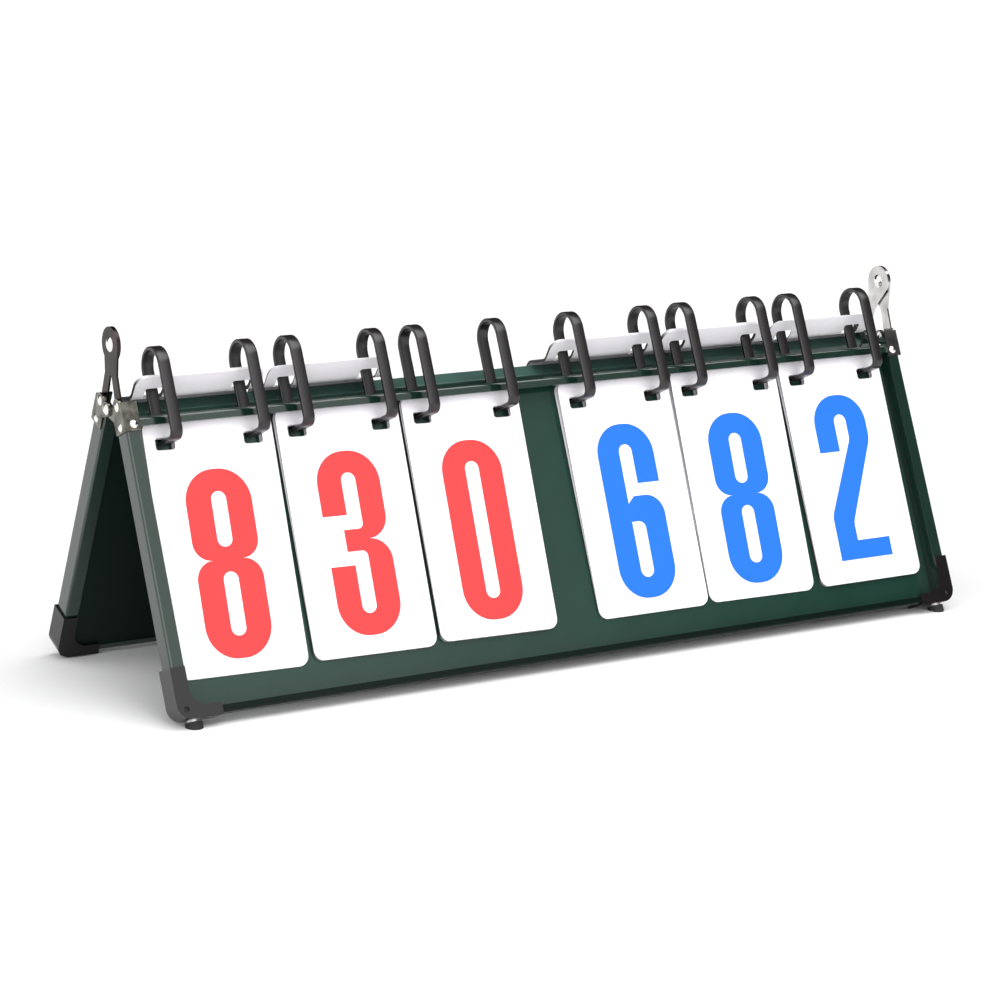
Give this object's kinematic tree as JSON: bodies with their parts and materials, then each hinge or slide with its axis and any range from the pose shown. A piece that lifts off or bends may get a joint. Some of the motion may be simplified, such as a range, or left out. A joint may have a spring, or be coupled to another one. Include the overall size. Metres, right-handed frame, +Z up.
{
  "type": "tabletop flip scoreboard",
  "caption": "Folding tabletop scoreboard: hinged green panels, numbered leaves on black rings, chromed stays, corner guards and rubber feet.",
  "frame": {"origin": "centre of the bounding box at table level, under the line where the two panels meet", "axes": "+X along the length, -Y towards the reader in front, +Z up"},
  "size_m": [0.5882, 0.1868, 0.2222],
  "materials": {
    "frame_green": "satin dark green paint",
    "board_green": "satin dark green",
    "guard_black": "satin black",
    "foot_rubber": "matt",
    "ring_black": "gloss black",
    "leaf_white": "smooth white sheet",
    "screw_steel": "plated",
    "plate_chrome": "bright plated steel"
  },
  "bodies": {
    "front_panel": {"front_left_rail": "frame_green", "front_right_rail": "frame_green", "front_top_rail": "frame_green", "front_bottom_rail": "frame_green", "front_board": "board_green", "front_left_bracket": "plate_chrome", "front_right_bracket": "plate_chrome", "front_left_guard": "guard_black", "front_right_guard": "guard_black", "front_feet": "foot_rubber", "front_foot_screws": "screw_steel", "front_rivets": "plate_chrome", "hinge_pins": "plate_chrome", "front_arm_pins": "plate_chrome", "rings_1": "ring_black", "rings_2": "ring_black", "rings_3": "ring_black", "rings_4": "ring_black", "rings_5": "ring_black", "rings_6": "ring_black", "leaf_stack_1": "leaf_white", "leaf_stack_2": "leaf_white", "leaf_stack_3": "leaf_white", "leaf_stack_4": "leaf_white", "leaf_stack_5": "leaf_white", "leaf_stack_6": "leaf_white"},
    "back_panel": {"back_left_rail": "frame_green", "back_right_rail": "frame_green", "back_top_rail": "frame_green", "back_bottom_rail": "frame_green", "back_board": "board_green", "back_left_bracket": "plate_chrome", "back_right_bracket": "plate_chrome", "back_left_guard": "guard_black", "back_right_guard": "guard_black", "back_feet": "foot_rubber", "back_foot_screws": "screw_steel", "back_rivets": "plate_chrome", "back_arm_pins": "plate_chrome"},
    "front_left_stay": {"front_left_arm": "plate_chrome", "left_apex_rivet": "plate_chrome"},
    "front_right_stay": {"front_right_arm": "plate_chrome", "right_apex_rivet": "plate_chrome"},
    "back_left_stay": {"back_left_arm": "plate_chrome"},
    "back_right_stay": {"back_right_arm": "plate_chrome"},
    "leaf_1": {"shown_leaf_1": "leaf_white"},
    "leaf_2": {"shown_leaf_2": "leaf_white"},
    "leaf_3": {"shown_leaf_3": "leaf_white"},
    "leaf_4": {"shown_leaf_4": "leaf_white"},
    "leaf_5": {"shown_leaf_5": "leaf_white"},
    "leaf_6": {"shown_leaf_6": "leaf_white"},
    "turned_leaves": {"flipped_leaves_1": "leaf_white", "flipped_leaves_2": "leaf_white", "flipped_leaves_4": "leaf_white", "flipped_leaves_5": "leaf_white", "flipped_leaves_6": "leaf_white"}
  },
  "joints": [
    {"name": "fold", "type": "hinge", "parent": "front_panel", "child": "back_panel", "pos_m": [0, 0, 0.17316], "axis": [1, 0, 0], "range_deg": [-47, 0]},
    {"name": "front_left_stay_pivot", "type": "hinge", "parent": "front_panel", "child": "front_left_stay", "pos_m": [-0.2893, -0.01156, 0.17628], "axis": [1, 0, 0], "range_deg": [-24.2, 0]},
    {"name": "back_left_stay_pivot", "type": "hinge", "parent": "back_panel", "child": "back_left_stay", "pos_m": [-0.2893, 0.01156, 0.17628], "axis": [1, 0, 0], "range_deg": [0, 24.2]},
    {"name": "front_right_stay_pivot", "type": "hinge", "parent": "front_panel", "child": "front_right_stay", "pos_m": [0.2893, -0.01156, 0.17628], "axis": [1, 0, 0], "range_deg": [-24.2, 0]},
    {"name": "back_right_stay_pivot", "type": "hinge", "parent": "back_panel", "child": "back_right_stay", "pos_m": [0.2893, 0.01156, 0.17628], "axis": [1, 0, 0], "range_deg": [0, 24.2]},
    {"name": "lift_leaf_1", "type": "hinge", "parent": "front_panel", "child": "leaf_1", "pos_m": [-0.235, -0.01598, 0.165], "axis": [-1, 0, 0], "range_deg": [0, 35]},
    {"name": "lift_leaf_2", "type": "hinge", "parent": "front_panel", "child": "leaf_2", "pos_m": [-0.147, -0.01598, 0.165], "axis": [-1, 0, 0], "range_deg": [0, 35]},
    {"name": "lift_leaf_3", "type": "hinge", "parent": "front_panel", "child": "leaf_3", "pos_m": [-0.059, -0.01598, 0.165], "axis": [-1, 0, 0], "range_deg": [0, 35]},
    {"name": "lift_leaf_4", "type": "hinge", "parent": "front_panel", "child": "leaf_4", "pos_m": [0.0566, -0.01598, 0.165], "axis": [-1, 0, 0], "range_deg": [0, 35]},
    {"name": "lift_leaf_5", "type": "hinge", "parent": "front_panel", "child": "leaf_5", "pos_m": [0.1446, -0.01598, 0.165], "axis": [-1, 0, 0], "range_deg": [0, 35]},
    {"name": "lift_leaf_6", "type": "hinge", "parent": "front_panel", "child": "leaf_6", "pos_m": [0.2326, -0.01598, 0.165], "axis": [-1, 0, 0], "range_deg": [0, 35]},
    {"name": "turned_leaves_swing", "type": "hinge", "parent": "front_panel", "child": "turned_leaves", "pos_m": [0, -0.00093, 0.17957], "axis": [1, 0, 0], "range_deg": [-23.5, 0]}
  ],
  "couplings": [
    {"joint": "turned_leaves_swing", "follows": "fold", "ratio": 0.5},
    {"joint": "front_left_stay_pivot", "follows": "fold", "ratio": 0.515},
    {"joint": "back_left_stay_pivot", "follows": "fold", "ratio": -0.515},
    {"joint": "front_right_stay_pivot", "follows": "fold", "ratio": 0.515},
    {"joint": "back_right_stay_pivot", "follows": "fold", "ratio": -0.515}
  ]
}
